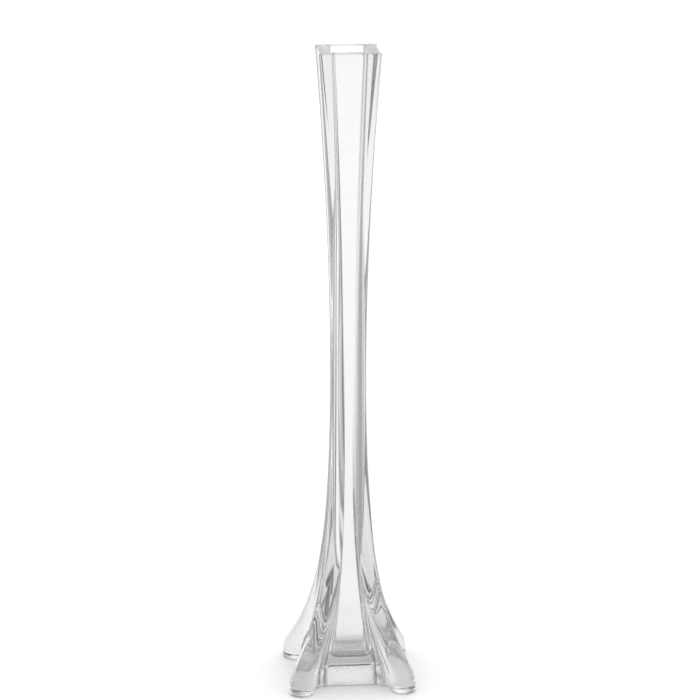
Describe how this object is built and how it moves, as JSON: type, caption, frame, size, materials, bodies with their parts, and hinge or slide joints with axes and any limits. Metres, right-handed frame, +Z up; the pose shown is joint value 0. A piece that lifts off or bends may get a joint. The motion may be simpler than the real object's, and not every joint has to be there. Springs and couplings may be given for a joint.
{
  "type": "flower vase",
  "caption": "Tall slim vase of clear moulded glass: square flared mouth, narrow stem and splayed feet, for holding long flower stems or a table centrepiece.",
  "frame": {"origin": "centre of the footprint, at the level of the feet's undersides", "axes": "+Z up along the vase's own axis towards the mouth; X and Y square to its flat sides"},
  "size_m": [0.1006, 0.1006, 0.508],
  "materials": {
    "clear_glass": "polished, fire-finished as moulded"
  },
  "bodies": {
    "root": {"glass_vase": "clear_glass"}
  },
  "joints": []
}
